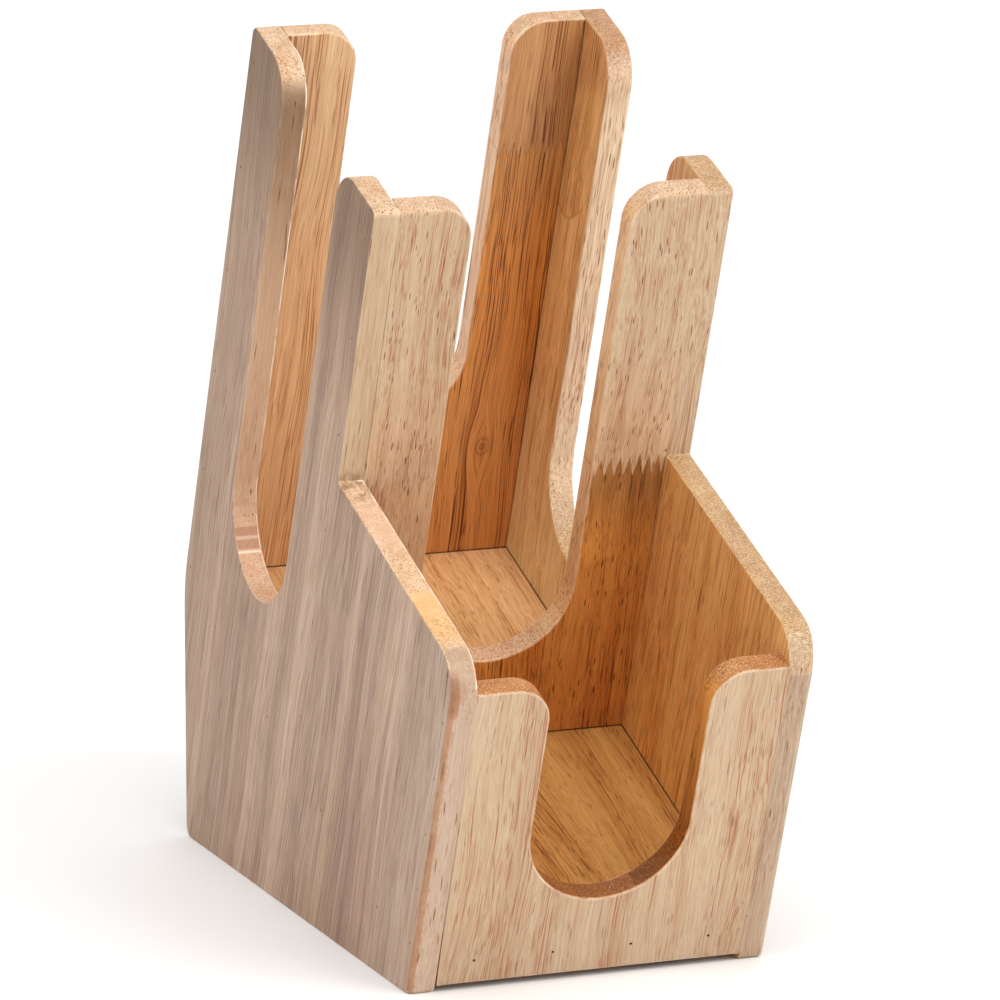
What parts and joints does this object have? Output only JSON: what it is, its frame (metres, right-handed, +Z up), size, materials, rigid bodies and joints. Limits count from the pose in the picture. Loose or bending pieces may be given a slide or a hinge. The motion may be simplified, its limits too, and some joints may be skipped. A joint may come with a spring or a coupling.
{
  "type": "cup and lid organizer",
  "caption": "Forward-leaning wooden organizer with a low front compartment and a tall rear compartment, each open at the top, with round-bottomed finger slots cut in its boards.",
  "frame": {"origin": "middle of the overall box on the surface that it stands on", "axes": "+Z up, +X towards the right side panel, -Y towards the low front that the boards lean over"},
  "size_m": [0.14, 0.2908, 0.3313],
  "materials": {
    "side_board": "sanded, clear oil",
    "front_board": "sanded, clear oil",
    "divider_board": "sanded, clear oil",
    "back_board": "sanded, clear oil",
    "floor_wood": "sanded, clear oil",
    "pin_steel": "dark bare wire"
  },
  "bodies": {
    "root": {"left_side_panel": "side_board", "right_side_panel": "side_board", "front_panel": "front_board", "divider_panel": "divider_board", "back_panel": "back_board", "floor_board": "floor_wood", "left_front_pins": "pin_steel", "left_divider_pins": "pin_steel", "left_back_pins": "pin_steel", "left_floor_pins": "pin_steel", "right_front_pins": "pin_steel", "right_divider_pins": "pin_steel", "right_back_pins": "pin_steel", "right_floor_pins": "pin_steel", "front_floor_pins_row": "pin_steel"}
  },
  "joints": []
}
